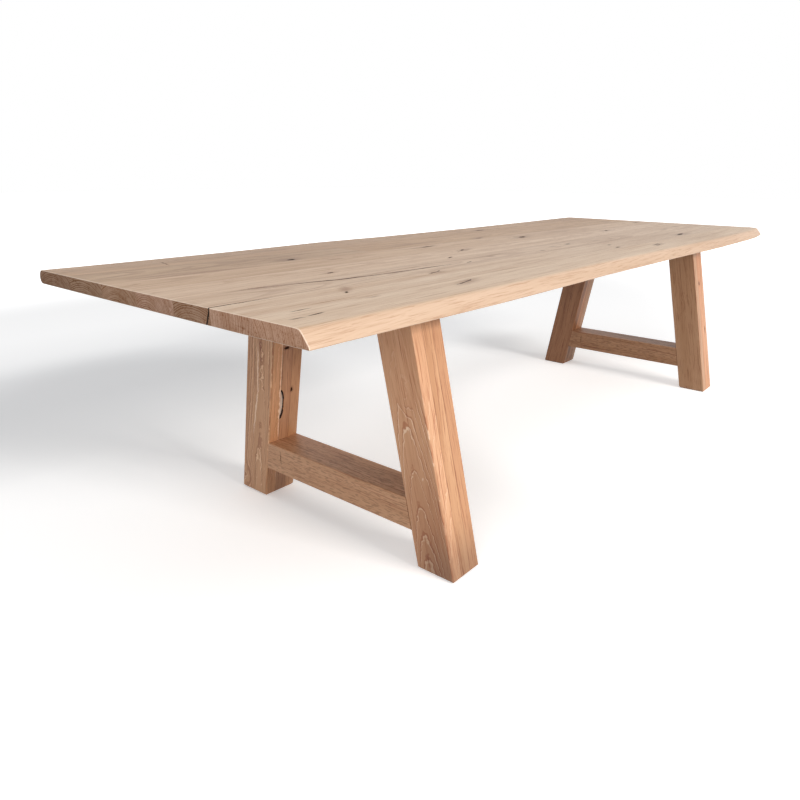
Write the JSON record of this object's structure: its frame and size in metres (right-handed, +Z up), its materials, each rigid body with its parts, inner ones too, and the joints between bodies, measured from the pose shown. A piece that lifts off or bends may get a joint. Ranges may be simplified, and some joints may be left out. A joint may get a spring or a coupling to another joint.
{
  "type": "trestle dining table",
  "caption": "Long solid oak dining table with a live-edge plank top on A-shaped trestles of splayed, staved legs with a low stretcher and a hidden upper rail.",
  "frame": {"origin": "on the floor, under the middle of the top's outline", "axes": "+X along the top towards the right trestle, +Y from the leaning live edge at the front to the back edge, +Z up"},
  "size_m": [3, 1.1727, 0.76],
  "materials": {
    "oak_top": "matt oiled oak",
    "oak_legs": "matt oiled oak, staves",
    "oak_beams": "matt oiled oak, solid",
    "zinc_plated_steel": "zinc plated",
    "insert_steel": "yellow zinc"
  },
  "bodies": {
    "root": {"top_front_edge_board": "oak_top", "top_board_2": "oak_top", "top_board_3": "oak_top", "top_board_4": "oak_top", "top_board_5": "oak_top", "top_board_6_left": "oak_top", "top_board_6_right": "oak_top", "top_back_edge_board": "oak_top", "left_front_leg_outer_stave": "oak_legs", "left_front_leg_middle_stave": "oak_legs", "left_front_leg_inner_stave": "oak_legs", "left_back_leg_outer_stave": "oak_legs", "left_back_leg_middle_stave": "oak_legs", "left_back_leg_inner_stave": "oak_legs", "right_front_leg_outer_stave": "oak_legs", "right_front_leg_middle_stave": "oak_legs", "right_front_leg_inner_stave": "oak_legs", "right_back_leg_outer_stave": "oak_legs", "right_back_leg_middle_stave": "oak_legs", "right_back_leg_inner_stave": "oak_legs", "left_stretcher": "oak_beams", "left_upper_rail": "oak_beams", "right_stretcher": "oak_beams", "right_upper_rail": "oak_beams", "left_top_bolts": "zinc_plated_steel", "right_top_bolts": "zinc_plated_steel", "left_bolt_washers": "zinc_plated_steel", "right_bolt_washers": "zinc_plated_steel", "left_threaded_inserts": "insert_steel", "right_threaded_inserts": "insert_steel"}
  },
  "joints": []
}
